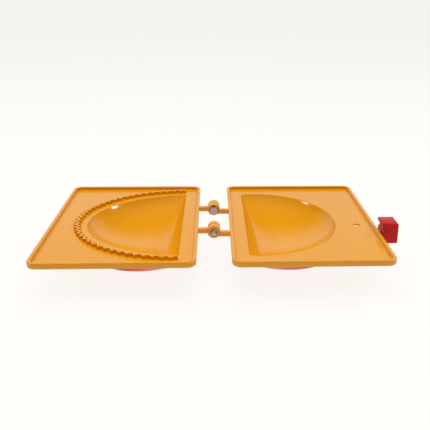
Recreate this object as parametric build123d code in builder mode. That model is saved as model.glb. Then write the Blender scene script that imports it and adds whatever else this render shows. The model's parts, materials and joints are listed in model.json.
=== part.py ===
"""Hinged turnover press: two shallow trays with D-shaped filling pockets, a zigzag crimping ridge,
two riveted knuckle hinges, a base shell under each pocket and a small snap latch.

Millimetres, +Z up. The press lies open and flat. X runs across the hinge, Y along it.
The origin is on the table, under the middle of the whole outline.
"""

from build123d import *
import math
import os

# ---------------------------------------------------------------- driving dimensions
tray_width = 100.0  # across the hinge
tray_depth = 150.0  # along the hinge
tray_corner = 6.2
rim_width = 2.3
rim_height = 2.3  # above the tray floor
floor_thickness = 1.5
foot_rounding = 0.8  # outer edge of the underside
rim_rounding = 0.5
hinge_gap = 21.2  # between the two trays when they lie open

pocket_wall_x = 21.6  # straight pocket wall at floor level, measured from the hinge line
pocket_wall_slope = 17.0  # degrees from upright, leaning outwards with depth
pocket_depth = 18.5  # below the tray floor
pocket_lowest_x = 35.0  # where the pocket is deepest
pocket_fullness = 2.13  # 2 gives an elliptic section, more gives steeper walls
pocket_edge_softness = 0.05  # 0 gives a vertical start at the lip, more a sloping one
right_pocket = (30.0, 55.0, 60.5)  # centre from the hinge line, half size in X, half size in Y
left_pocket = (14.0, 73.0, 60.0)

bowl_wall = 1.5  # moulded wall under each pocket
shell_gap = 0.3  # air between the bowl and its base shell
shell_wall = 1.5
flange_width = 4.0
flange_thickness = 1.5
foot_centre_x = 50.4  # the oval each base shell stands on, from the hinge line
foot_half_x = 35.0
foot_half_y = 33.5
cup_inset = 3.0  # the cup starts this far inside the bowl's outline and comes out of it lower down
foot_drop = 1.1  # from the bottom of the shell's bowl to the table

ridge_centre = 22.0  # centre of the ridge's half ellipse, from the hinge line
ridge_half_x = 71.6
ridge_half_y = 64.9
ridge_teeth = 39
ridge_swing = 1.2  # each side of the centre line
ridge_thickness = 2.3
ridge_height = 2.2

hinge_y = 22.0  # middle of each hinge, either side of the press's middle
ring_diameter = 8.5
ring_width = 5.5
ring_spacing = 5.7  # middle to middle of the two rings of a hinge
ring_rounding = 0.7
arm_width = 3.9
arm_height = 3.2
axis_lift = 0.15  # hinge axis above the rim: closed rims stay twice this apart
rivet_diameter = 3.2
rivet_clearance = 0.05
rivet_head_diameter = 6.4
rivet_head_height = 1.3
rivet_tail_diameter = 4.8
rivet_tail_height = 0.9

hole_x = 99.0  # from the hinge line
hole_y = -9.0
hole_diameter = 5.0

latch_front_y = -32.0
latch_back_y = -17.6
latch_outer_x = 121.7  # these latch sizes are measured from the hinge line and the rim's top
latch_inner_x = 111.6
latch_nose_x = 111.2
latch_throat_x = 112.8
latch_top_z = 6.8
latch_bottom_z = -6.8
latch_throat_low_z = 0.8
latch_throat_high_z = 4.6
latch_throat_middle_z = 3.0
latch_rounding = 0.7
latch_pivot_x = 112.6
latch_pivot_z = -4.4
lug_width = 6.0
lug_radius = 1.8
slot_clearance = 0.3
pin_diameter = 1.6
pin_clearance = 0.03
pin_end_y = -30.0

# ---------------------------------------------------------------- worked-out sizes
tray_inner_x = hinge_gap / 2
tray_outer_x = tray_inner_x + tray_width
hinge_x = (tray_outer_x - latch_outer_x) / 2
shell_inside = bowl_wall + shell_gap
shell_outside = shell_inside + shell_wall
floor_z = pocket_depth + shell_outside + foot_drop
rim_z = floor_z + rim_height
under_z = floor_z - floor_thickness
axis_z = rim_z + axis_lift
wall_slope = math.tan(math.radians(pocket_wall_slope))

LEFT = -1
RIGHT = 1


def pocket_wall(side, grow):
    """The leaning plane of the straight wall, moved towards the hinge by grow."""
    wall_x = pocket_wall_x - grow / math.cos(math.radians(pocket_wall_slope))
    return Plane(
        origin=(hinge_x + side * wall_x, 0, floor_z),
        x_dir=(0, 1, 0),
        z_dir=(side, 0, wall_slope),
    )


def bowl(side, pocket, grow):
    """A solid pocket shape hung from the floor plane, larger by grow on every wall.

    Each level is the pocket's outline shrunk towards its deepest point. The straight wall is a
    leaning plane that cuts the whole stack.
    """
    centre, half_x, half_y = pocket
    depth = pocket_depth + grow
    shares = [1.0, 0.985, 0.95, 0.9, 0.8, 0.7, 0.6, 0.5, 0.4, 0.3, 0.22]
    power = 1 / pocket_fullness
    lip = pocket_edge_softness**power
    levels = [(1 - share**2 + pocket_edge_softness) ** power - lip for share in shares]
    with BuildPart() as body:
        for share, level in zip(shares, levels):
            x = pocket_lowest_x + (centre - pocket_lowest_x) * share
            with BuildSketch(Plane.XY.offset(floor_z - depth * level / levels[-1])):
                with Locations((hinge_x + side * x, 0)):
                    Ellipse(half_x * share + grow, half_y * share + grow)
        loft()
        split(bisect_by=pocket_wall(side, grow), keep=Keep.TOP)
    return body.part


def cup(side, pocket, grow, bottom_z, inset):
    """A solid that tapers from just round the bowl to an oval foot, cut by the leaning wall."""
    centre, half_x, half_y = pocket
    with BuildPart() as body:
        with BuildSketch(Plane.XY.offset(floor_z)):
            with Locations((hinge_x + side * centre, 0)):
                Ellipse(half_x + grow - cup_inset, half_y + grow - cup_inset)
        with BuildSketch(Plane.XY.offset(bottom_z)):
            with Locations((hinge_x + side * foot_centre_x, 0)):
                Ellipse(foot_half_x - inset, foot_half_y - inset)
        loft()
        split(bisect_by=pocket_wall(side, grow), keep=Keep.TOP)
    return body.part


def flange_outline(side, pocket):
    """The base shell's flat flange, a D around the bowl."""
    centre, half_x, half_y = pocket
    spread = shell_outside + flange_width
    edge_x = pocket_wall_x - spread
    with BuildSketch(Plane.XY.offset(under_z - flange_thickness)) as outline:
        with Locations((hinge_x + side * centre, 0)):
            Ellipse(half_x + spread, half_y + spread)
        with Locations((hinge_x + side * (edge_x + tray_width / 2), 0)):
            Rectangle(tray_width, tray_depth, mode=Mode.INTERSECT)
    return outline.sketch


def ridge_outline():
    """The zigzag band: both edges swing together about a half ellipse, at equal steps along it."""
    samples = 2000
    angles = [math.pi * (k / samples - 0.5) for k in range(samples + 1)]
    path = [(ridge_half_x * math.cos(a), ridge_half_y * math.sin(a)) for a in angles]
    travelled = [0.0]
    for start, end in zip(path, path[1:]):
        travelled.append(travelled[-1] + math.dist(start, end))
    inner, outer = [], []
    turns = 2 * ridge_teeth
    for turn in range(turns + 1):
        distance = travelled[-1] * turn / turns
        angle = angles[next(k for k, far in enumerate(travelled) if far >= distance - 1e-9)]
        across = Vector(ridge_half_y * math.cos(angle), ridge_half_x * math.sin(angle)).normalized()
        swing = ridge_swing if turn % 2 else -ridge_swing
        x = ridge_centre + ridge_half_x * math.cos(angle)
        y = ridge_half_y * math.sin(angle)
        for edge, shift in ((inner, -ridge_thickness / 2), (outer, ridge_thickness / 2)):
            reach = swing + shift
            edge.append((hinge_x - x - across.X * reach, y + across.Y * reach))
    with BuildSketch(Plane.XY.offset(floor_z)) as outline:
        with BuildLine():
            Polyline(*inner, *reversed(outer), close=True)
        make_face()
    return outline.sketch


def ring_y(hinge, side):
    """Middle of a knuckle ring: the left tray has the rear ring of each hinge."""
    return hinge * hinge_y - side * ring_spacing / 2


def make_tray(side, pocket):
    """Floor, raised rim, bowl, and two arms that end in knuckle rings."""
    middle_x = hinge_x + side * (tray_inner_x + tray_width / 2)
    outer_bowl = bowl(side, pocket, bowl_wall)
    cavity = bowl(side, pocket, 0)
    with BuildPart() as tray:
        with BuildSketch(Plane.XY.offset(under_z)):
            with Locations((middle_x, 0)):
                RectangleRounded(tray_width, tray_depth, tray_corner)
        extrude(amount=rim_z - under_z)
        bottom = tray.faces().sort_by(Axis.Z)[0]
        fillet(bottom.edges(), radius=foot_rounding)
        with BuildSketch(Plane.XY.offset(floor_z)):
            with Locations((middle_x, 0)):
                RectangleRounded(
                    tray_width - 2 * rim_width, tray_depth - 2 * rim_width, tray_corner - rim_width
                )
        extrude(amount=rim_height, mode=Mode.SUBTRACT)
        rim_top = tray.faces().sort_by(Axis.Z)[-1]
        fillet(rim_top.edges(), radius=rim_rounding)
        for hinge in (-1, 1):
            y = ring_y(hinge, side)
            with BuildSketch(Plane.YZ.offset(hinge_x)):
                with Locations((y, rim_z - arm_height / 2)):
                    Rectangle(arm_width, arm_height)
            extrude(amount=side * (tray_inner_x + rim_width / 2))
            with BuildSketch(Plane.XZ.offset(-y - ring_width / 2)):
                with Locations((hinge_x, axis_z)):
                    Circle(ring_diameter / 2)
            ring = extrude(amount=ring_width)
            round_edges = ring.edges().filter_by(GeomType.CIRCLE)
            fillet(round_edges, radius=ring_rounding)
        add(outer_bowl)
        add(cavity, mode=Mode.SUBTRACT)
        with BuildSketch(Plane.XZ):
            with Locations((hinge_x, axis_z)):
                Circle(rivet_diameter / 2 + rivet_clearance)
        extrude(amount=tray_depth / 2, both=True, mode=Mode.SUBTRACT)
    return tray.part


def make_base_shell(side, pocket):
    """A cup round the tray's own bowl: a flat flange under the tray and a flat oval foot."""
    with BuildPart() as shell:
        add(bowl(side, pocket, shell_outside))
        add(cup(side, pocket, shell_outside, 0, 0))
        add(flange_outline(side, pocket))
        extrude(amount=flange_thickness)
        add(bowl(side, pocket, shell_inside), mode=Mode.SUBTRACT)
        add(cup(side, pocket, shell_inside, shell_wall, shell_wall), mode=Mode.SUBTRACT)
        split(bisect_by=Plane.XY.offset(under_z), keep=Keep.BOTTOM)
    return shell.part


def make_rivet(hinge, head_side):
    """A steel rivet through both rings: a flat head at one end, a peened tail at the other."""
    stack = (ring_width + ring_spacing) / 2 + rivet_clearance
    middle = hinge * hinge_y
    with BuildPart() as rivet:
        with BuildSketch(Plane.XZ.offset(-middle)):
            with Locations((hinge_x, axis_z)):
                Circle(rivet_diameter / 2)
        extrude(amount=stack, both=True)
        ends = (
            (head_side, rivet_head_diameter, rivet_head_height),
            (-head_side, rivet_tail_diameter, rivet_tail_height),
        )
        for end, diameter, height in ends:
            with BuildSketch(Plane.XZ.offset(-middle - end * stack)):
                with Locations((hinge_x, axis_z)):
                    Circle(diameter / 2)
            extrude(amount=-end * height)
            crown = rivet.edges().filter_by(GeomType.CIRCLE).sort_by(Axis.Y)[-1 if end > 0 else 0]
            fillet(crown, radius=height / 2)
    return rivet.part


# ---------------------------------------------------------------- left half: crimping ridge
with BuildPart() as left_tray:
    add(make_tray(LEFT, left_pocket))
    add(ridge_outline())
    extrude(amount=ridge_height)

# ---------------------------------------------------------------- right half: hole and latch lug
pivot_x = hinge_x + latch_pivot_x
pivot_z = rim_z + latch_pivot_z
latch_middle_y = (latch_front_y + latch_back_y) / 2
latch_width = latch_back_y - latch_front_y

with BuildPart() as right_tray:
    add(make_tray(RIGHT, right_pocket))
    with BuildSketch(Plane.XY.offset(floor_z)):
        with Locations((hinge_x + hole_x, hole_y)):
            Circle(hole_diameter / 2)
    extrude(amount=-floor_thickness, mode=Mode.SUBTRACT)
    # the lug: a round eye on a short web below the rim
    with BuildSketch(Plane.XZ.offset(-latch_middle_y)):
        with Locations((pivot_x, pivot_z)):
            Circle(lug_radius)
        web_length = latch_pivot_x - tray_outer_x + rim_width / 2
        with Locations((pivot_x - web_length / 2, pivot_z)):
            Rectangle(web_length, 2 * lug_radius)
    extrude(amount=lug_width / 2, both=True)
    with BuildSketch(Plane.XZ.offset(-latch_middle_y)):
        with Locations((pivot_x, pivot_z)):
            Circle(pin_diameter / 2 + pin_clearance)
    extrude(amount=lug_width, both=True, mode=Mode.SUBTRACT)

# ---------------------------------------------------------------- latch: a C with a nose
with BuildPart() as latch:
    with BuildSketch(Plane.XZ.offset(-latch_back_y)):
        with BuildLine():
            inner = hinge_x + latch_inner_x
            outer = hinge_x + latch_outer_x
            nose = hinge_x + latch_nose_x
            throat = hinge_x + latch_throat_x
            bottom = rim_z + latch_bottom_z
            low = rim_z + latch_throat_low_z
            high = rim_z + latch_throat_high_z
            top = rim_z + latch_top_z
            Polyline(
                (inner, low), (inner, bottom), (outer, bottom), (outer, top), (nose, top), (nose, high)
            )
            throat_middle = rim_z + latch_throat_middle_z
            ThreePointArc((nose, high), (throat, throat_middle), (inner, low))
        make_face()
    extrude(amount=latch_width)
    long_edges = latch.edges().filter_by(Axis.Y)
    fillet(long_edges.group_by(Axis.X)[-1], radius=latch_rounding)
    # slot for the lug, open below and towards the tray
    slot_back = pivot_x + lug_radius + slot_clearance
    slot_top = pivot_z + lug_radius + slot_clearance
    with BuildSketch(Plane.XZ.offset(-latch_middle_y)):
        with Locations(((slot_back + nose) / 2, (slot_top + bottom) / 2)):
            Rectangle(slot_back - nose + slot_clearance, slot_top - bottom + slot_clearance)
    extrude(amount=lug_width / 2 + slot_clearance, both=True, mode=Mode.SUBTRACT)
    # pivot hole, blind in the front cheek
    with BuildSketch(Plane.XZ.offset(-latch_back_y)):
        with Locations((pivot_x, pivot_z)):
            Circle(pin_diameter / 2 + 2 * pin_clearance)
    extrude(amount=latch_back_y - pin_end_y + pin_clearance, mode=Mode.SUBTRACT)

with BuildPart() as latch_pin:
    with BuildSketch(Plane.XZ.offset(-latch_back_y + slot_clearance)):
        with Locations((pivot_x, pivot_z)):
            Circle(pin_diameter / 2)
    extrude(amount=latch_back_y - slot_clearance - pin_end_y)

# ---------------------------------------------------------------- write the pieces
pieces = {
    "left_tray": left_tray.part,
    "right_tray": right_tray.part,
    "left_base_shell": make_base_shell(LEFT, left_pocket),
    "right_base_shell": make_base_shell(RIGHT, right_pocket),
    "far_hinge_rivet": make_rivet(1, -1),
    "near_hinge_rivet": make_rivet(-1, 1),
    "latch": latch.part,
    "latch_pin": latch_pin.part,
}

os.makedirs("parts", exist_ok=True)
for name, piece in pieces.items():
    piece.label = name
    export_step(piece, f"parts/{name}.step")
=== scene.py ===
"""A hinged turnover press, lying open: two moulded trays with D-shaped filling pockets, a zigzag
crimping ridge, riveted knuckle hinges, red base shells and a red snap latch.

Shapes are drawn in millimetres from the middle of the hinge line at the level of the rims' top,
with X across the hinge, and put into the frame when each piece is done.
"""

import json
import math

import bmesh
import bpy
from mathutils import Matrix, Vector


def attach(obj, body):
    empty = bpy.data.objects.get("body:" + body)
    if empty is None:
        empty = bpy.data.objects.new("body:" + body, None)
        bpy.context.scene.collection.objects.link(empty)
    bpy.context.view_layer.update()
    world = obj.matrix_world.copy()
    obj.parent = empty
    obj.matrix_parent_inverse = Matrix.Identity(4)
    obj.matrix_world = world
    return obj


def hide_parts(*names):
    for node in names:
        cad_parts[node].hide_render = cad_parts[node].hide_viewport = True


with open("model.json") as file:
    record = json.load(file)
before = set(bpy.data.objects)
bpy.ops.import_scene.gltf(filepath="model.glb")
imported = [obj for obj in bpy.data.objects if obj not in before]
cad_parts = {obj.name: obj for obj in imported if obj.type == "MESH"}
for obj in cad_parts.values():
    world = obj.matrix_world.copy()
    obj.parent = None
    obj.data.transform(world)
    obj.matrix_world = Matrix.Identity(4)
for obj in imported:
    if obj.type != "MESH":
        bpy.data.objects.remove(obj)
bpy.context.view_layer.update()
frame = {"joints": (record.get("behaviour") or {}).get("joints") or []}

# ---------------------------------------------------------------- studio
# A light table in a tent: soft light from above, a pale wall behind, and one small lamp at each
# side that leaves the bright spots in the pockets. The camera stands in front, looking down.
mm = 0.001
joints = {joint["name"]: joint for joint in frame["joints"]}
axis_lift = 0.15  # the hinge axis stands this far above the rims
hinge = Vector(joints["tray_hinge"]["pos_m"])
into_frame = Matrix.Translation(hinge - Vector((0, 0, axis_lift * mm))) @ Matrix.Scale(mm, 4)


def linear(code):
    """An sRGB hex colour as linear RGBA."""
    shares = [int(code[k : k + 2], 16) / 255 for k in (1, 3, 5)]
    curve = [s / 12.92 if s <= 0.04045 else ((s + 0.055) / 1.055) ** 2.4 for s in shares]
    return (*curve, 1.0)


def add_node(tree, kind, inputs=None, **settings):
    """Adds a node, sets its properties, and sets or links its inputs."""
    made = tree.nodes.new(kind)
    for name, value in settings.items():
        setattr(made, name, value)
    for name, value in (inputs or {}).items():
        if isinstance(value, bpy.types.NodeSocket):
            tree.links.new(value, made.inputs[name])
        else:
            made.inputs[name].default_value = value
    return made


scene = bpy.context.scene
scene.view_settings.view_transform = "Standard"

camera = bpy.data.objects.new("camera", bpy.data.cameras.new("camera"))
scene.collection.objects.link(camera)
camera_from_hinge = Vector((-0.5, -415.2, 153.7))
camera.matrix_world = (
    Matrix.Translation(into_frame @ camera_from_hinge)
    @ Matrix.Rotation(math.radians(-3.0), 4, "Z")
    @ Matrix.Rotation(math.radians(90 - 20.02), 4, "X")
    @ Matrix.Rotation(math.radians(0.69), 4, "Z")
)
camera.data.lens = 52.9
camera.data.shift_x = -0.068
camera.data.clip_start = 0.01
scene.camera = camera

# A broad overhead light that leaves no reflection of its own, as light through a tent's roof does.
lights = (
    # name, place from the hinge, aim, width, height, power, seen in gloss
    ("tent_roof", (0, -60, 1000), (0, 0, 0), 1500, 1500, 15.0, False),
    ("left_lamp", (-560, 120, 380), (60, 0, -10), 60, 60, 0.6, True),
    ("right_lamp", (560, 120, 420), (-60, 0, -10), 60, 60, 0.6, True),
)
for name, place, aim, width, height, power, seen_in_gloss in lights:
    light = bpy.data.lights.new(name, "AREA")
    light.shape = "RECTANGLE"
    light.size = width * mm
    light.size_y = height * mm
    light.energy = power
    lamp = bpy.data.objects.new(name, light)
    scene.collection.objects.link(lamp)
    lamp.visible_glossy = seen_in_gloss
    turn = (Vector(aim) - Vector(place)).to_track_quat("-Z", "Y").to_matrix().to_4x4()
    lamp.matrix_world = Matrix.Translation(into_frame @ Vector(place)) @ turn

# The room: a pale wall behind that fades upwards and sideways, and darker everywhere else.
world = bpy.data.worlds.new("pale_room")
scene.world = world
world.use_nodes = True
room = world.node_tree
toward = add_node(room, "ShaderNodeTexCoord").outputs["Generated"]
parts = add_node(room, "ShaderNodeSeparateXYZ", {"Vector": toward}).outputs


def room_maths(operation, *values):
    return add_node(room, "ShaderNodeMath", dict(enumerate(values)), operation=operation).outputs[0]


def fade(value, full, none):
    """1 where the value is past full, 0 where it is past none, smooth between."""
    span = {"Value": value, "From Min": none, "From Max": full}
    return add_node(room, "ShaderNodeMapRange", span, interpolation_type="SMOOTHSTEP").outputs[0]


height_share = parts["Z"]
side_angle = room_maths("ARCTAN2", room_maths("ABSOLUTE", parts["X"]), parts["Y"])
wall_share = room_maths(
    "MULTIPLY",
    fade(height_share, math.sin(math.radians(23)), math.sin(math.radians(42))),
    fade(side_angle, math.radians(30), math.radians(60)),
)
wall_light, room_light = 0.68, 0.04
room_strength = room_maths("MULTIPLY_ADD", wall_share, wall_light - room_light, room_light)
backdrop = room.nodes["Background"]
backdrop.inputs["Color"].default_value = linear("#FFFFFF")
room.links.new(room_strength, backdrop.inputs["Strength"])

floor_half = 60.0
floor_mesh = bpy.data.meshes.new("studio_floor")
floor_mesh.from_pydata(
    [(x * floor_half, y * floor_half, 0) for x, y in ((-1, -1), (1, -1), (1, 1), (-1, 1))],
    [],
    [(0, 1, 2, 3)],
)
studio_floor = bpy.data.objects.new("studio_floor", floor_mesh)
scene.collection.objects.link(studio_floor)
# Opal light table: matt white, and lit a little from below so that shadows stay faint.
light_table = bpy.data.materials.new("opal_light_table")
light_table.use_nodes = True
opal = light_table.node_tree.nodes["Principled BSDF"].inputs
opal["Base Color"].default_value = linear("#5A5A5A")
opal["Roughness"].default_value = 0.9
opal["Specular IOR Level"].default_value = 0.0
opal["Emission Color"].default_value = linear("#FFFDFA")
opal["Emission Strength"].default_value = 0.90
floor_mesh.materials.append(light_table)

# ---------------------------------------------------------------- trays
# Two injection-moulded trays in yellow-orange polypropylene. Each has a flat floor, a raised rim
# all round, a D-shaped pocket with a straight leaning wall towards the hinge, and two arms that
# end in knuckle rings. Walls are 1.5 mm thick, and the rims, feet and pocket lips are rounded.
LEFT, RIGHT = -1, 1
tray_inner, tray_width, tray_depth, tray_corner = 10.6, 100.0, 150.0, 6.2
rim_width = rim_height = 2.3
floor_level = -rim_height
under_level = floor_level - 1.5
pockets = {
    # centre from the hinge line, half size across, half size along
    LEFT: (14.0, 73.0, 60.0),
    RIGHT: (30.0, 55.0, 60.5),
}
pocket_middle = 50.0
pocket_depth = 18.5
pocket_lowest = 35.0
pocket_fullness = 2.13
pocket_edge_softness = 0.05
pocket_wall = 21.6
pocket_lean = math.radians(17)
pocket_wall_blend = 0.6
pocket_corner = 1.4
lip_round = 0.35
bowl_wall = 1.5
wall_points, arc_points = 72, 150  # on every line round a pocket: straight wall, curved side


def oval_share(x, y, lowest, centre, half_x, half_y):
    """Where a point lies in a stack of ovals that shrink to a lowest point: 1 on the outermost."""
    across, shift = x - lowest, lowest - centre
    keep = 1 - (shift / half_x) ** 2
    lean = across * shift / half_x**2
    spread = (across / half_x) ** 2 + (y / half_y) ** 2
    return (lean + math.sqrt(lean**2 + keep * spread)) / keep


def bowl_depth(side, x, y, grow):
    """Depth of the rounded bowl below the tray floor, larger by grow all round."""
    centre, half_x, half_y = pockets[side]
    share = oval_share(x, y, pocket_lowest, centre, half_x + grow, half_y + grow)
    inward = 1 - share**2
    power = 1 / pocket_fullness
    at_edge = pocket_edge_softness**power
    rise = (max(inward + pocket_edge_softness, 0) ** power - at_edge) / (
        (1 + pocket_edge_softness) ** power - at_edge
    )
    steep_outside = 8.0
    return (pocket_depth + grow) * rise + steep_outside * min(inward, 0)


def meet_wall(bowl, x, grow):
    """The lesser of the bowl and the leaning wall, with a round corner that widens with depth."""
    wall = (x - pocket_wall + grow / math.cos(pocket_lean)) / math.tan(pocket_lean)
    blend = pocket_wall_blend**2 * max(bowl, 0) * max(wall, 0) + pocket_corner**2
    return (bowl + wall - math.sqrt((bowl - wall) ** 2 + blend)) / 2


def pocket_depth_at(side, x, y, grow=0.0):
    return meet_wall(bowl_depth(side, x, y, grow), x, grow)


def pocket_rays(side):
    """Points round the pocket's outline, closer together at its two corners."""
    centre, half_x, half_y = pockets[side]
    across = (pocket_wall - centre) / half_x
    corner = half_y * math.sqrt(1 - across**2)
    start = math.acos(across)
    turns = [math.pi * (k / wall_points - 0.5) for k in range(wall_points)]
    points = [(pocket_wall, corner * math.sin(turn)) for turn in turns]
    turns = [start * math.cos(math.pi * k / arc_points) for k in range(arc_points)]
    points += [(centre + half_x * math.cos(turn), half_y * math.sin(turn)) for turn in turns]
    return points


def outline_reach(side, depth_at, depth):
    """How far along each ray from the middle the surface comes up to a given depth."""
    reach = []
    for x, y in pocket_rays(side):
        low, high = 0.2, 1.5
        for _ in range(40):
            u = (low + high) / 2
            if depth_at(pocket_middle + (x - pocket_middle) * u, y * u) > depth:
                low = u
            else:
                high = u
        reach.append(low)
    return reach


def ray_line(side, reach, offset, share, height_at):
    """A closed line at a share of each ray's reach and an offset along it."""
    line = []
    for (x, y), u in zip(pocket_rays(side), reach):
        length = math.hypot(x - pocket_middle, y)
        at = (u + offset / length) * share
        px, py = pocket_middle + (x - pocket_middle) * at, y * at
        line.append((side * px, py, height_at(px, py)))
    return line


def inward_shares(steps):
    """Steps from the outline to the middle, longer near the outline."""
    crowding = 1.15
    return [(1 - k / steps) ** crowding for k in range(1, steps)]


def rim_line(side, inset, z, corner_steps=10, side_steps=12):
    """A rounded rectangle, inset from the tray's outline."""
    r = max(tray_corner - inset, 0.6)
    low, high = tray_inner + inset + r, tray_inner + tray_width - inset - r
    along = tray_depth / 2 - inset - r
    points = []
    corners = ((low, along, 180), (high, along, 90), (high, -along, 0), (low, -along, -90))
    for index, (x, y, angle) in enumerate(corners):
        for k in range(corner_steps + 1):
            turn = math.radians(angle - 90 * k / corner_steps)
            points.append((x + r * math.cos(turn), y + r * math.sin(turn)))
        next_x, next_y, next_angle = corners[(index + 1) % 4]
        turn = math.radians(next_angle)
        target = (next_x + r * math.cos(turn), next_y + r * math.sin(turn))
        last = points[-1]
        for k in range(1, side_steps):
            points.append(tuple(l + (t - l) * k / side_steps for l, t in zip(last, target)))
    return [(side * x, y, z) for x, y in points]


def circle_line(x, y, z, radius, steps=40):
    turns = [2 * math.pi * k / steps for k in range(steps)]
    return [(x + radius * math.cos(t), y + radius * math.sin(t), z) for t in turns]


def add_strip(bm, lines):
    """Joins closed lines of equal count with faces, and returns the lines as vertices."""
    rows = [[bm.verts.new(point) for point in line] for line in lines]
    for row, following in zip(rows, rows[1:]):
        for k in range(len(row)):
            j = (k + 1) % len(row)
            bm.faces.new((row[k], row[j], following[j], following[k]))
    return rows


def close_to_point(bm, row, point):
    tip = bm.verts.new(point)
    for k in range(len(row)):
        bm.faces.new((row[k], row[(k + 1) % len(row)], tip))


def fill_flat(bm, *rows):
    """Fills the flat area between closed lines, the first of them outermost."""
    edges = []
    for row in rows:
        for k in range(len(row)):
            edges.append(bm.edges.get((row[k], row[(k + 1) % len(row)])))
    bmesh.ops.triangle_fill(bm, edges=edges, use_beauty=True, normal=(0, 0, 1))


def quarter(radius, steps=5):
    """Quarter of a circle as (sideways, upwards) pairs, from flat to upright."""
    turns = [math.pi / 2 * k / steps for k in range(steps + 1)]
    return [(radius * math.sin(t), radius * (1 - math.cos(t))) for t in turns]


def tray_mesh(side, spots):
    """The closed shell of one tray's floor, rim and bowl, as a bmesh."""
    bm = bmesh.new()
    rim_round, foot_round, root_round, support = 0.5, 0.8, 0.5, 0.3
    inside_rings, below_rings = 44, 36
    flat_edge, lip_end = 1.1, -1.2
    # the pocket seen from above, from just outside its rounded lip to its middle
    reach = outline_reach(side, lambda x, y: pocket_depth_at(side, x, y), 0)

    def pocket_height(x, y):
        depth = pocket_depth_at(side, x, y)
        return floor_level - (depth + math.sqrt(depth**2 + lip_round**2)) / 2

    lines = [ray_line(side, reach, flat_edge, 1, lambda x, y: floor_level)]
    for offset in (0.7, 0.45, 0.28, 0.14, 0.05, -0.05, -0.15, -0.3, -0.5, -0.8, lip_end):
        lines.append(ray_line(side, reach, offset, 1, pocket_height))
    shares = inward_shares(inside_rings)
    lines += [ray_line(side, reach, lip_end, share, pocket_height) for share in shares]
    inside = add_strip(bm, lines)
    middle = side * pocket_middle
    close_to_point(bm, inside[-1], (middle, 0, pocket_height(pocket_middle, 0)))
    # the bowl seen from below
    thickness = floor_level - under_level
    reach = outline_reach(
        side, lambda x, y: pocket_depth_at(side, x, y, bowl_wall), thickness
    )

    def bowl_height(x, y):
        return floor_level - pocket_depth_at(side, x, y, bowl_wall)

    lines = [ray_line(side, reach, offset, 1, lambda x, y: under_level) for offset in (support, 0)]
    shares = inward_shares(below_rings)
    lines += [ray_line(side, reach, 0, share, bowl_height) for share in shares]
    below = add_strip(bm, lines)
    close_to_point(bm, below[-1], (middle, 0, bowl_height(pocket_middle, 0)))
    # rim: up from the floor, over the top and down the outside
    section = [(rim_width + root_round + support, floor_level)]
    section += [(rim_width + root_round - a, floor_level + u) for a, u in quarter(root_round)]
    section += [(rim_width - rim_round + a, -u) for a, u in reversed(quarter(rim_round))]
    section += [(rim_round - a, -u) for a, u in quarter(rim_round)]
    section += [(foot_round - a, under_level + u) for a, u in reversed(quarter(foot_round))]
    section += [(foot_round + support, under_level)]
    rim = add_strip(bm, [rim_line(side, inset, z) for inset, z in section])
    # floor and underside, round whatever is let into them
    above_rows, below_rows = [rim[0], inside[0]], [rim[-1], below[0]]
    for x, y, radius, goes_through in spots:
        edge = 0.15
        if goes_through:
            lines = [
                circle_line(side * x, y, floor_level, radius + support),
                circle_line(side * x, y, floor_level, radius + edge),
                circle_line(side * x, y, floor_level - edge, radius),
                circle_line(side * x, y, under_level + edge, radius),
                circle_line(side * x, y, under_level, radius + edge),
                circle_line(side * x, y, under_level, radius + support),
            ]
            rows = add_strip(bm, lines)
            below_rows.append(rows[-1])
        else:
            sunk = 0.05
            lines = [
                circle_line(side * x, y, floor_level, radius + support),
                circle_line(side * x, y, floor_level, radius),
                circle_line(side * x, y, floor_level - sunk, radius - edge),
                circle_line(side * x, y, floor_level - sunk, radius - support),
            ]
            rows = add_strip(bm, lines)
            close_to_point(bm, rows[-1], (side * x, y, floor_level - sunk))
        above_rows.append(rows[0])
    fill_flat(bm, *above_rows)
    fill_flat(bm, *below_rows)
    return bm


def lathe(bm, section, steps=48):
    """Turns a closed (radius, along Y) section round the hinge axis."""
    rings = []
    for radius, y in section:
        line = circle_line(0, 0, 0, radius, steps)
        rings.append([bm.verts.new((px, y, pz + axis_lift)) for px, pz, _ in line])
    for row, following in zip(rings, rings[1:] + rings[:1]):
        for k in range(steps):
            j = (k + 1) % steps
            bm.faces.new((row[k], row[j], following[j], following[k]))
    return rings


ring_radius, ring_bore, ring_width, ring_round = 4.25, 1.65, 5.5, 0.7
ring_spacing = 5.7
hinge_y = 22.0
arm_width, arm_height, arm_round = 3.9, 3.2, 0.45


def knuckle_mesh(side, hinge_side):
    """One arm and its ring. The left tray has the rear ring of each hinge."""
    y = hinge_side * hinge_y - side * ring_spacing / 2
    ring = bmesh.new()
    edge = [(ring_radius - ring_round + a, u) for a, u in quarter(ring_round)]
    half = ring_width / 2
    mouth = 0.25
    section = [(ring_bore, y - half + mouth), (ring_bore + mouth, y - half)]
    section += [(r, y - half + u) for r, u in edge]
    section += [(r, y + half - u) for r, u in reversed(edge)]
    section += [(ring_bore + mouth, y + half), (ring_bore, y + half - mouth)]
    lathe(ring, section)
    arm = bmesh.new()
    into_ring, into_rim = ring_radius - 1.4, tray_inner + rim_width / 2
    outline = []
    for across, down, angle in ((1, 0, 0), (-1, 0, 90), (-1, 1, 180), (1, 1, 270)):
        for k in range(5):
            turn = math.radians(angle + 90 * k / 4)
            outline.append(
                (
                    y + across * (arm_width / 2 - arm_round) + arm_round * math.cos(turn),
                    -down * (arm_height - 2 * arm_round) - arm_round + arm_round * math.sin(turn),
                )
            )
    ends = [[arm.verts.new((side * x, py, pz)) for py, pz in outline] for x in (into_ring, into_rim)]
    for k in range(len(outline)):
        j = (k + 1) % len(outline)
        arm.faces.new((ends[0][k], ends[0][j], ends[1][j], ends[1][k]))
    for end in ends:
        arm.faces.new(end)
    return [ring, arm]


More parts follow.
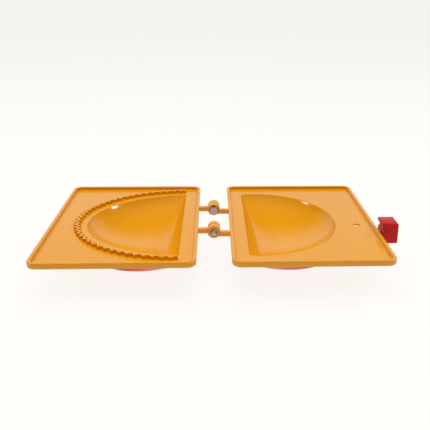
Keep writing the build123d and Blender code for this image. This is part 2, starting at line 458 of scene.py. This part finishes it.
def raw_object(name, bm):
    """An object in millimetres, with its doubles merged and its faces turned outwards."""
    bmesh.ops.remove_doubles(bm, verts=bm.verts, dist=1e-4)
    bmesh.ops.recalc_face_normals(bm, faces=bm.faces)
    mesh = bpy.data.meshes.new(name)
    bm.to_mesh(mesh)
    bm.free()
    made = bpy.data.objects.new(name, mesh)
    scene.collection.objects.link(made)
    return made


def apply_modifiers(piece):
    """Turns the evaluated result into the piece's own plain mesh and drops its modifiers."""
    evaluated = piece.evaluated_get(bpy.context.evaluated_depsgraph_get())
    mesh = bpy.data.meshes.new_from_object(evaluated)
    piece.modifiers.clear()
    piece.data = mesh


def combine(piece, others, operation="UNION"):
    """Joins the others to the piece as one skin, or cuts them out of it."""
    for other in others:
        step = piece.modifiers.new(other.name, "BOOLEAN")
        step.object = other
        step.operation = operation
        step.solver = "EXACT"
        apply_modifiers(piece)
        bpy.data.objects.remove(other)


def finish_piece(piece, material, body, node, sharp=32):
    """Puts a finished shape into the frame, on its body, in place of its CAD node."""
    piece.data.transform(into_frame)
    piece.data.materials.clear()
    piece.data.materials.append(material)
    piece.data.shade_smooth()
    piece.data.set_sharp_from_angle(angle=math.radians(sharp))
    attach(piece, body)
    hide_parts(node)


def moulded_plastic(name, deep, pale, smoothest, roughest):
    """Plastic from a polished mould: satin gloss, faintly clouded colour, light rub marks."""
    made = bpy.data.materials.new(name)
    made.use_nodes = True
    tree = made.node_tree
    shader = tree.nodes["Principled BSDF"]
    place = add_node(tree, "ShaderNodeTexCoord").outputs["Object"]
    cloud_size, rub_size = 30 * mm, 5 * mm
    clouds = add_node(tree, "ShaderNodeTexNoise", {"Vector": place, "Scale": 1 / cloud_size})
    tint = add_node(tree, "ShaderNodeMix", {"Factor": clouds.outputs["Fac"]}, data_type="RGBA")
    tint.inputs["A"].default_value = linear(deep)
    tint.inputs["B"].default_value = linear(pale)
    tree.links.new(tint.outputs["Result"], shader.inputs["Base Color"])
    rubs = add_node(tree, "ShaderNodeTexNoise", {"Vector": place, "Scale": 1 / rub_size, "Detail": 5.0})
    span = {"Value": rubs.outputs["Fac"], "To Min": smoothest, "To Max": roughest}
    gloss = add_node(tree, "ShaderNodeMapRange", span)
    tree.links.new(gloss.outputs["Result"], shader.inputs["Roughness"])
    shader.inputs["IOR"].default_value = 1.49
    return made


# Polypropylene from a polished mould: glossy enough to mirror the wall behind it at a low angle,
# and a deep saturated orange where it faces the eye.
tray_plastic = moulded_plastic("moulded_yellow_polypropylene", "#E89A08", "#EB9F0C", 0.12, 0.18)

# The crimping ridge: a zigzag rib, moulded with the left tray, that follows half an ellipse round
# the pocket. Its turns are evenly spaced and a little rounded, and so is its top.
ridge_centre = 22.0
ridge_sizes = {
    "Half across": 71.6,
    "Half along": 64.9,
    "Turns": 78,
    "Swing": 1.2,
    "Sharpness": 0.97,
    "Thickness": 2.2,
    "Height": 2.2,
    "Sunk": 0.4,
    "Edge radius": 0.4,
}


def ridge_tree():
    """A rib swept along half an ellipse, its points pushed in and out by a rounded zigzag."""
    tree = bpy.data.node_groups.new("zigzag_ridge", "GeometryNodeTree")
    for name, value in ridge_sizes.items():
        kind = "NodeSocketInt" if isinstance(value, int) else "NodeSocketFloat"
        tree.interface.new_socket(name, in_out="INPUT", socket_type=kind)
    tree.interface.new_socket("Material", in_out="INPUT", socket_type="NodeSocketMaterial")
    tree.interface.new_socket("Geometry", in_out="OUTPUT", socket_type="NodeSocketGeometry")
    given = tree.nodes.new("NodeGroupInput").outputs

    def maths(operation, *values):
        inputs = dict(enumerate(values))
        return add_node(tree, "ShaderNodeMath", inputs, operation=operation).outputs[0]

    half_circle = add_node(
        tree,
        "GeometryNodeCurveArc",
        {"Resolution": 256, "Radius": 1.0, "Start Angle": math.pi / 2, "Sweep Angle": math.pi},
    )
    spread = add_node(
        tree, "ShaderNodeCombineXYZ", {"X": given["Half across"], "Y": given["Half along"], "Z": 1.0}
    )
    path = add_node(
        tree,
        "GeometryNodeTransform",
        {"Geometry": half_circle.outputs["Curve"], "Scale": spread.outputs[0]},
    )
    steps_per_turn = 8
    count = maths("MULTIPLY_ADD", given["Turns"], steps_per_turn, 1)
    points = add_node(tree, "GeometryNodeResampleCurve", {"Curve": path.outputs[0], "Count": count})
    index = add_node(tree, "GeometryNodeInputIndex").outputs[0]
    phase = maths("MULTIPLY", index, math.pi / steps_per_turn)
    wave = maths("ARCSINE", maths("MULTIPLY", maths("SINE", phase), given["Sharpness"]))
    swing = maths("MULTIPLY", maths("DIVIDE", wave, maths("ARCSINE", given["Sharpness"])), given["Swing"])
    way = add_node(tree, "GeometryNodeInputTangent").outputs[0]
    across = add_node(tree, "ShaderNodeVectorMath", {0: way, 1: (0, 0, 1)}, operation="CROSS_PRODUCT")
    push = add_node(tree, "ShaderNodeVectorMath", {0: across.outputs[0]}, operation="SCALE")
    tree.links.new(swing, push.inputs["Scale"])
    marked = add_node(
        tree,
        "GeometryNodeStoreNamedAttribute",
        {"Geometry": points.outputs[0], "Name": "push", "Value": push.outputs[0]},
        data_type="FLOAT_VECTOR",
    )
    upright = add_node(
        tree, "GeometryNodeSetCurveNormal", {"Curve": marked.outputs[0]}, mode="Z_UP"
    )
    tall = maths("ADD", given["Height"], given["Sunk"])
    block = add_node(
        tree,
        "GeometryNodeCurvePrimitiveQuadrilateral",
        {"Width": given["Thickness"], "Height": tall},
        mode="RECTANGLE",
    )
    section = add_node(
        tree,
        "GeometryNodeFilletCurve",
        {"Curve": block.outputs[0], "Radius": given["Edge radius"], "Count": 3},
        mode="POLY",
    )
    rib = add_node(
        tree,
        "GeometryNodeCurveToMesh",
        {"Curve": upright.outputs[0], "Profile Curve": section.outputs[0], "Fill Caps": True},
    )
    pushed = add_node(
        tree, "GeometryNodeInputNamedAttribute", {"Name": "push"}, data_type="FLOAT_VECTOR"
    )
    zigzag = add_node(
        tree, "GeometryNodeSetPosition", {"Geometry": rib.outputs[0], "Offset": pushed.outputs[0]}
    )
    real = add_node(tree, "GeometryNodeRealizeInstances", {"Geometry": zigzag.outputs[0]})
    painted = add_node(
        tree,
        "GeometryNodeSetMaterial",
        {"Geometry": real.outputs[0], "Material": given["Material"]},
    )
    add_node(tree, "NodeGroupOutput", {"Geometry": painted.outputs[0]})
    return tree


ridge = bpy.data.objects.new("zigzag_ridge", bpy.data.meshes.new("zigzag_ridge"))
scene.collection.objects.link(ridge)
growth = ridge.modifiers.new("zigzag_ridge", "NODES")
growth.node_group = ridge_tree()
for socket in growth.node_group.interface.items_tree:
    if socket.in_out == "INPUT":
        value = tray_plastic if socket.name == "Material" else ridge_sizes[socket.name]
        growth[socket.identifier] = value
apply_modifiers(ridge)
shape = bmesh.new()
shape.from_mesh(ridge.data)
bpy.data.objects.remove(ridge)
rib_middle = floor_level + (ridge_sizes["Height"] - ridge_sizes["Sunk"]) / 2
bmesh.ops.translate(shape, verts=shape.verts, vec=(-ridge_centre, 0, rib_middle))
ridge = raw_object("zigzag_ridge", shape)

# The lug that carries the latch: a round eye on a short web below the right tray's rim.
latch_pivot_x, latch_pivot_z = 112.6, -4.4
latch_front, latch_back = -32.0, -17.6
latch_middle = (latch_front + latch_back) / 2
lug_radius, lug_width = 1.8, 6.0


def lug_mesh():
    bm = bmesh.new()
    root = tray_inner + tray_width - rim_width / 2
    turns = [math.pi * (k / 16 - 0.5) for k in range(17)]
    outline = [(root, latch_pivot_z - lug_radius)]
    outline += [
        (latch_pivot_x + lug_radius * math.cos(t), latch_pivot_z + lug_radius * math.sin(t))
        for t in turns
    ]
    outline += [(root, latch_pivot_z + lug_radius)]
    cheeks = [latch_middle - lug_width / 2, latch_middle + lug_width / 2]
    rows = [[bm.verts.new((x, y, z)) for x, z in outline] for y in cheeks]
    for k in range(len(outline)):
        j = (k + 1) % len(outline)
        bm.faces.new((rows[0][k], rows[0][j], rows[1][j], rows[1][k]))
    for row in rows:
        bm.faces.new(row)
    return bm


spots = {
    # across, along, radius, goes right through
    LEFT: [(99.0, -62.0, 3.0, False)],
    RIGHT: [(99.0, -9.0, 2.5, True)],
}
trays = {}
for side, name in ((LEFT, "left_tray"), (RIGHT, "right_tray")):
    trays[side] = raw_object(name + "_skin", tray_mesh(side, spots[side]))
    shapes = [shape for hinge_side in (-1, 1) for shape in knuckle_mesh(side, hinge_side)]
    combine(trays[side], [raw_object("knuckle", shape) for shape in shapes])
combine(trays[LEFT], [ridge])
combine(trays[RIGHT], [raw_object("latch_lug", lug_mesh())])
finish_piece(trays[LEFT], tray_plastic, "left_half", "left_tray")
finish_piece(trays[RIGHT], tray_plastic, "right_half", "right_tray")

# ---------------------------------------------------------------- base shells
# A thin red cup of the same kind of moulding under each pocket: a flat D-shaped flange against
# the underside of the tray, a wall that follows the tray's own bowl, and an oval foot that the
# press stands on. How the cup is fixed to the tray can't be seen.
shell_gap, shell_wall = 0.3, 1.5
shell_inside = bowl_wall + shell_gap
shell_outside = shell_inside + shell_wall
flange_width, flange_thickness, flange_round = 4.0, 1.5, 0.35
foot_drop = 1.1
table_level = floor_level - pocket_depth - shell_outside - foot_drop
foot_centre, foot_half_x, foot_half_y = 50.4, 35.0, 33.5
cup_inset = 3.0
foot_edge = 0.8  # how softly the taper turns into the flat foot
foot_press = 0.05  # keeps the foot flat in spite of that softness
shell_rings = 60


def cup_depth(side, x, y, grow, bottom, inset):
    """Depth below the tray floor of the cup that tapers down to the oval foot."""
    centre, half_x, half_y = pockets[side]
    top_x, top_y = half_x + grow - cup_inset, half_y + grow - cup_inset
    low_x, low_y = foot_half_x - inset, foot_half_y - inset
    low, high = -0.5, 1.5
    for _ in range(30):
        t = (low + high) / 2
        a, b = top_x + (low_x - top_x) * t, top_y + (low_y - top_y) * t
        c = centre + (foot_centre - centre) * t
        if ((x - c) / a) ** 2 + (y / b) ** 2 < 1:
            low = t
        else:
            high = t
    drop, most = low * bottom, bottom + foot_press
    return (drop + most - math.sqrt((drop - most) ** 2 + foot_edge**2)) / 2


def shell_depth_at(side, x, y, grow, bottom, inset):
    """The deeper of bowl and cup, cut by the leaning wall with an even rounding."""
    hollow = max(bowl_depth(side, x, y, grow), cup_depth(side, x, y, grow, bottom, inset))
    wall = (x - pocket_wall + grow / math.cos(pocket_lean)) / math.tan(pocket_lean)
    depth = (hollow + wall - math.sqrt((hollow - wall) ** 2 + pocket_corner**2)) / 2
    return min(depth, bottom)


def flange_line(side, inset, z):
    """The flange's outline: an oval cut straight along the hinge side."""
    centre, half_x, half_y = pockets[side]
    spread = shell_outside + flange_width - inset
    edge = pocket_wall - spread
    across = (edge - centre) / (half_x + spread)
    corner = (half_y + spread) * math.sqrt(1 - across**2)
    start = math.acos(across)
    points = [(edge, corner * (2 * k / wall_points - 1)) for k in range(wall_points)]
    for k in range(arc_points):
        turn = start * (1 - 2 * k / arc_points)
        points.append(
            (centre + (half_x + spread) * math.cos(turn), (half_y + spread) * math.sin(turn))
        )
    return [(side * x, y, z) for x, y in points]


def shell_mesh(side):
    """The closed skin of one cup, from the middle of its outside round the flange to its inside."""
    bm = bmesh.new()
    bottom = floor_level - table_level
    under = floor_level - under_level
    low_face = under + flange_thickness
    faces = (
        # grow, depth of the flat bottom, how far the foot is inset, level of the flange's face
        (shell_outside, bottom, 0.0, low_face),
        (shell_inside, bottom - shell_wall, shell_wall, under),
    )
    halves = []
    for grow, lowest, inset, face in faces:
        def depth_at(x, y):
            return shell_depth_at(side, x, y, grow, lowest, inset)

        reach = outline_reach(side, depth_at, face)

        def height(x, y):
            return floor_level - depth_at(x, y)

        level = floor_level - face
        lines = [ray_line(side, reach, 0, 1, lambda x, y: level)]
        lines += [ray_line(side, reach, 0, share, height) for share in inward_shares(shell_rings)]
        rows = add_strip(bm, lines)
        close_to_point(bm, rows[-1], (side * pocket_middle, 0, height(pocket_middle, 0)))
        halves.append(rows[0])
    low, high = under_level - flange_thickness, under_level
    section = [(flange_round, low)]
    section += [(flange_round - a, low + u) for a, u in quarter(flange_round)][1:]
    section += [(flange_round - a, high - u) for a, u in reversed(quarter(flange_round))]
    edge = add_strip(bm, [flange_line(side, inset, z) for inset, z in section])
    fill_flat(bm, edge[0], halves[0])
    fill_flat(bm, edge[-1], halves[1])
    return bm


# Polypropylene again, in red, with a weaker gloss than the trays have.
shell_plastic = moulded_plastic("moulded_red_polypropylene", "#D42404", "#DA2E08", 0.18, 0.30)
shell_plastic.node_tree.nodes["Principled BSDF"].inputs["Specular IOR Level"].default_value = 0.15

for side, body, name in ((LEFT, "left_half", "left_base_shell"), (RIGHT, "right_half", "right_base_shell")):
    shell = raw_object(name + "_skin", shell_mesh(side))
    finish_piece(shell, shell_plastic, body, name)

# ---------------------------------------------------------------- hinge rivets
# A plain steel rivet holds the two rings of each hinge. It has a flat head at one end, and was
# hammered over at the other. The rear rivet's head and the front rivet's tail face the viewer.
rivet_radius = 1.6
head_radius, head_height, head_bevel = 3.2, 1.3, 0.45
tail_radius, tail_height = 2.4, 0.9
stack = (ring_width + ring_spacing) / 2 + 0.05


def rivet_mesh(hinge_side, head_side):
    """The turned rivet: bevelled flat head, shank, and a low uneven dome for the tail."""
    middle = hinge_side * hinge_y
    section = [(0.0, head_height), (head_radius - head_bevel, head_height)]
    section += [(head_radius - 0.1, head_height - head_bevel * 0.8)]
    section += [(head_radius, head_height - head_bevel - 0.1), (head_radius, 0.0)]
    section += [(rivet_radius, 0.0), (rivet_radius, -2 * stack)]
    section += [(tail_radius, -2 * stack), (tail_radius, -2 * stack - tail_height * 0.4)]
    for share in (0.97, 0.9, 0.78, 0.6, 0.4, 0.2, 0.0):
        rise = 0.4 + 0.6 * math.sqrt(1 - share**2)
        section.append((tail_radius * share, -2 * stack - tail_height * rise))
    bm = bmesh.new()
    steps = 56
    notch, slant = 0.05, 0.16  # unevenness of the hammered dome, round its edge and along Y
    rows = []
    for radius, along in section:
        y = middle + head_side * (stack + along)
        row = []
        for k in range(steps if radius else 1):
            turn = 2 * math.pi * k / steps
            r = radius
            lean = 0.0
            if along < -2 * stack and radius:
                # hammer blows leave the dome uneven
                r *= 1 - notch * (1 + math.sin(3 * turn + 1.0)) * (1 - math.cos(5 * turn)) / 2
                lean = slant * radius / tail_radius * (1 + math.cos(2 * turn + 3 * radius))
            row.append(
                bm.verts.new(
                    (r * math.cos(turn), y + head_side * lean, axis_lift + r * math.sin(turn))
                )
            )
        rows.append(row)
    for row, following in zip(rows, rows[1:]):
        for k in range(steps):
            j = (k + 1) % steps
            if len(row) == 1:
                bm.faces.new((row[0], following[j], following[k]))
            elif len(following) == 1:
                bm.faces.new((row[k], row[j], following[0]))
            else:
                bm.faces.new((row[k], row[j], following[j], following[k]))
    return bm


def drawn_steel(name, shade, smoothest, roughest):
    """Plain steel that has dulled unevenly, with fine marks from drawing and hammering."""
    made = bpy.data.materials.new(name)
    made.use_nodes = True
    tree = made.node_tree
    shader = tree.nodes["Principled BSDF"]
    shader.inputs["Base Color"].default_value = linear(shade)
    shader.inputs["Metallic"].default_value = 1.0
    place = add_node(tree, "ShaderNodeTexCoord").outputs["Object"]
    mark_size = 0.8 * mm
    marks = add_node(tree, "ShaderNodeTexNoise", {"Vector": place, "Scale": 1 / mark_size, "Detail": 4.0})
    span = {"Value": marks.outputs["Fac"], "To Min": smoothest, "To Max": roughest}
    gloss = add_node(tree, "ShaderNodeMapRange", span)
    tree.links.new(gloss.outputs["Result"], shader.inputs["Roughness"])
    dent = add_node(tree, "ShaderNodeBump", {"Height": marks.outputs["Fac"], "Strength": 0.3})
    dent.inputs["Distance"].default_value = 0.05 * mm
    tree.links.new(dent.outputs["Normal"], shader.inputs["Normal"])
    return made


# Dull plated steel with a faintly warm tone.
rivet_steel = drawn_steel("dull_plated_steel", "#B5A8A2", 0.28, 0.5)

for hinge_side, head_side, name in ((1, -1, "far_hinge_rivet"), (-1, 1, "near_hinge_rivet")):
    rivet = raw_object(name + "_skin", rivet_mesh(hinge_side, head_side))
    finish_piece(rivet, rivet_steel, "right_half", name)

# ---------------------------------------------------------------- latch
# A red C-shaped snap latch, moulded in one piece. Its nose snaps over the closed rims. It swings
# on a pin through the lug of the right tray, in a slot between its two cheeks.
latch_inner, latch_outer, latch_nose, latch_throat = 111.6, 121.7, 111.2, 112.8
latch_top, latch_bottom = 6.8, -6.8
throat_low, throat_middle, throat_high = 0.8, 3.0, 4.6
latch_round, latch_edge = 0.7, 0.25
slot_clearance = 0.3


def latch_outline():
    """The C seen along the hinge line: flat back and foot, nose, and a hollow throat."""
    points = [(latch_inner, throat_low), (latch_inner, latch_bottom)]
    for x, z, angle in (
        (latch_outer - latch_round, latch_bottom + latch_round, -90),
        (latch_outer - latch_round, latch_top - latch_round, 0),
    ):
        for k in range(7):
            turn = math.radians(angle + 15 * k)
            points.append((x + latch_round * math.cos(turn), z + latch_round * math.sin(turn)))
    points += [(latch_nose, latch_top), (latch_nose, throat_high)]
    # a circular arc through the throat's three points
    ax, az, bx, bz, cx, cz = (
        latch_nose, throat_high, latch_throat, throat_middle, latch_inner, throat_low,
    )
    twice = 2 * (ax * (bz - cz) + bx * (cz - az) + cx * (az - bz))
    a2, b2, c2 = ax**2 + az**2, bx**2 + bz**2, cx**2 + cz**2
    mid_x = (a2 * (bz - cz) + b2 * (cz - az) + c2 * (az - bz)) / twice
    mid_z = (a2 * (cx - bx) + b2 * (ax - cx) + c2 * (bx - ax)) / twice
    radius = math.hypot(ax - mid_x, az - mid_z)
    start = math.atan2(az - mid_z, ax - mid_x)
    end = math.atan2(cz - mid_z, cx - mid_x)
    for k in range(1, 12):
        turn = start + (end - start) * k / 12
        points.append((mid_x + radius * math.cos(turn), mid_z + radius * math.sin(turn)))
    return points


def prism(outline, front, back):
    """A closed block with an X-Z outline between two places along the hinge line."""
    bm = bmesh.new()
    rows = [[bm.verts.new((x, y, z)) for x, z in outline] for y in (front, back)]
    for k in range(len(outline)):
        j = (k + 1) % len(outline)
        bm.faces.new((rows[0][k], rows[0][j], rows[1][j], rows[1][k]))
    for row in rows:
        bm.faces.new(row)
    return bm


def soften(piece, width):
    """Rounds every edge sharper than 40 degrees."""
    step = piece.modifiers.new("soft_edges", "BEVEL")
    step.width = width
    step.segments = 3
    step.limit_method = "ANGLE"
    step.angle_limit = math.radians(40)
    apply_modifiers(piece)


latch = raw_object("latch_skin", prism(latch_outline(), latch_front, latch_back))
slot_back = latch_pivot_x + lug_radius + slot_clearance
slot_top = latch_pivot_z + lug_radius + slot_clearance
slot_half = lug_width / 2 + slot_clearance
below, before = latch_bottom - 1, latch_nose - 1
slot_outline = [(before, below), (slot_back, below), (slot_back, slot_top), (before, slot_top)]
slot = prism(slot_outline, latch_middle - slot_half, latch_middle + slot_half)
combine(latch, [raw_object("lug_slot", slot)], "DIFFERENCE")
soften(latch, latch_edge)
# Dark red polypropylene with a satin face and a weak gloss.
latch_plastic = moulded_plastic("moulded_dark_red_polypropylene", "#BE1208", "#C6180C", 0.25, 0.38)
latch_plastic.node_tree.nodes["Principled BSDF"].inputs["Specular IOR Level"].default_value = 0.2
finish_piece(latch, latch_plastic, "latch", "latch")

# ---------------------------------------------------------------- latch pin
# A short length of plain drawn wire through the latch's cheeks and the lug, with chamfered ends.
# The latch and lug skins here have no bore, so the pin is buried in them and doesn't show.
pin_radius, pin_end = 0.8, -30.0
pin_chamfer = 0.15
pin_back = latch_back - slot_clearance


def pin_mesh():
    bm = bmesh.new()
    section = [
        (pin_radius - pin_chamfer, pin_end), (pin_radius, pin_end + pin_chamfer),
        (pin_radius, pin_back - pin_chamfer), (pin_radius - pin_chamfer, pin_back),
    ]
    turns = [2 * math.pi * k / 32 for k in range(32)]
    lines = [
        [(latch_pivot_x + r * math.cos(t), y, latch_pivot_z + r * math.sin(t)) for t in turns]
        for r, y in section
    ]
    rows = add_strip(bm, lines)
    bm.faces.new(rows[0])
    bm.faces.new(rows[-1])
    return bm


pin_steel = drawn_steel("plain_drawn_wire", "#B8B4B0", 0.22, 0.38)
latch_pin = raw_object("latch_pin_skin", pin_mesh())
finish_piece(latch_pin, pin_steel, "right_half", "latch_pin")
